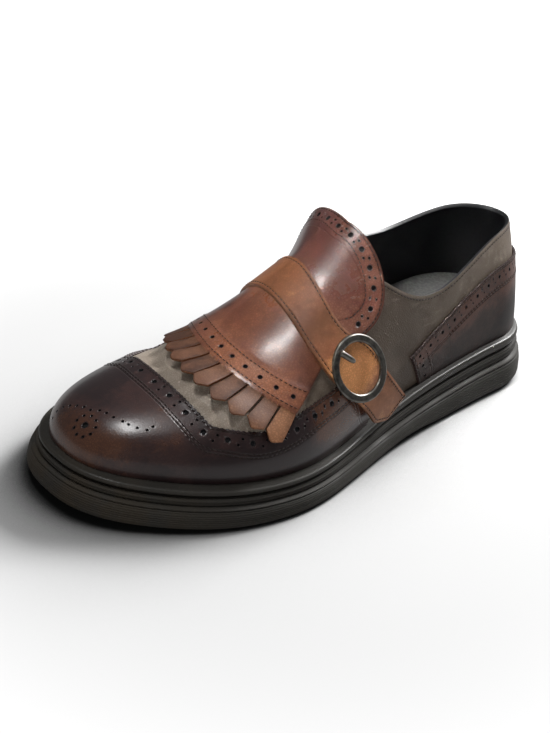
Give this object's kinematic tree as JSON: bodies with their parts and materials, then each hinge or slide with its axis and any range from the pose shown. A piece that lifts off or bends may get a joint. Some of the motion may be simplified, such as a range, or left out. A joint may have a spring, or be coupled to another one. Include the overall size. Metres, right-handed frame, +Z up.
{
  "type": "kiltie monk strap loafer",
  "caption": "Low leather loafer for the left foot with a wing cap, a fringed kiltie flap, a strap with a round buckle on the outer side and a thick rubber sole.",
  "frame": {"origin": "bottom centre of the bounding box, on the floor under the middle of the sole", "axes": "+X to the toe, +Y to the outer (lateral) side of the left foot, +Z up"},
  "size_m": [0.307, 0.1228, 0.1096],
  "materials": {
    "outsole": "dark moulded rubber, matt, finely ribbed side",
    "midsole": "black rubber, matt",
    "welt": "black rolled rand, half gloss",
    "insole": "dark grey covered footbed, matt",
    "upper": "grey-taupe smooth leather, satin",
    "wing_cap": "burnished dark burgundy-brown leather, glossy",
    "heel_foxing": "burnished dark brown leather, glossy",
    "kiltie": "tan-brown polished leather",
    "tongue": "burgundy-brown polished leather",
    "strap": "cognac tan leather with stitched edges",
    "buckle_ring": "antique nickel, polished rims",
    "buckle_prong": "antique nickel"
  },
  "bodies": {
    "root": {"outsole": "outsole", "midsole": "midsole", "welt": "welt", "insole": "insole", "upper": "upper", "wing_cap": "wing_cap", "heel_foxing": "heel_foxing", "kiltie": "kiltie", "tongue": "tongue", "strap": "strap", "buckle_ring": "buckle_ring", "buckle_prong": "buckle_prong"}
  },
  "joints": []
}
